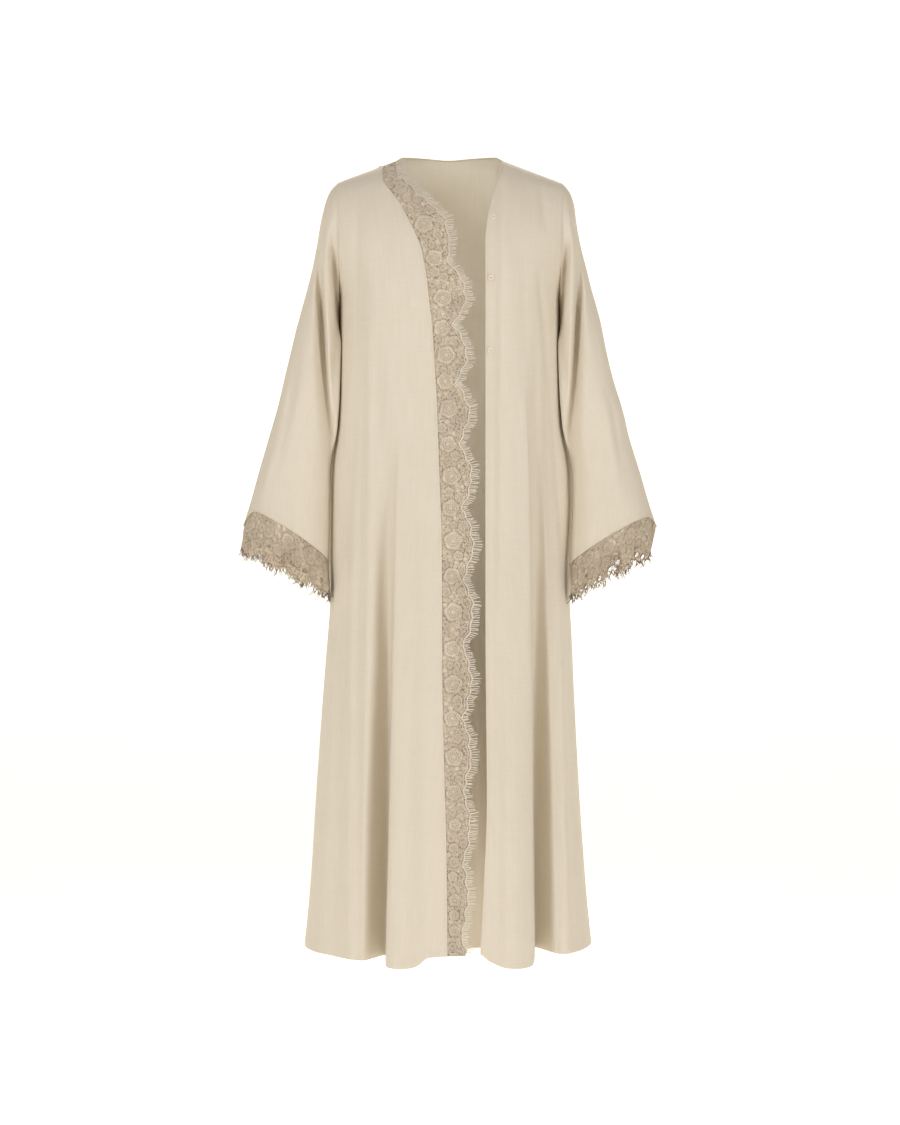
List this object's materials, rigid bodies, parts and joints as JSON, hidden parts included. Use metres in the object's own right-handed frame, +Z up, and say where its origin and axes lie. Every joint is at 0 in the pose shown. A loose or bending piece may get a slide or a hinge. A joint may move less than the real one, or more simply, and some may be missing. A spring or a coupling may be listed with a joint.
{
  "type": "abaya cloak",
  "caption": "Open-front abaya cloak, hollow as worn: crepe panels and bell sleeves with scalloped eyelash lace down one front edge and hanging from both cuffs",
  "frame": {"origin": "middle of the shoulders, at the height of the side neck points, where the wearer holds the garment up", "axes": "the wearer faces -Y, the wearer's right is at -X, +Z is up; the garment is longest along Z"},
  "size_m": [0.7221, 0.3675, 1.4242],
  "materials": {
    "crepe": "warm beige crepe, soft low sheen, very fine weave",
    "lace": "taupe net with corded flowers, matt to satin thread",
    "button": "small cloth-coloured buttons, satin"
  },
  "bodies": {
    "root": {"back": "crepe", "front_right": "crepe", "front_left": "crepe", "sleeve_right": "crepe", "sleeve_left": "crepe", "lace_front": "lace", "fringe_front": "lace", "lace_cuff_right_front": "lace", "lace_cuff_right_back": "lace", "fringe_cuff_right": "lace", "lace_cuff_left_front": "lace", "lace_cuff_left_back": "lace", "fringe_cuff_left": "lace", "button_1": "button", "button_2": "button", "button_3": "button"}
  },
  "joints": []
}
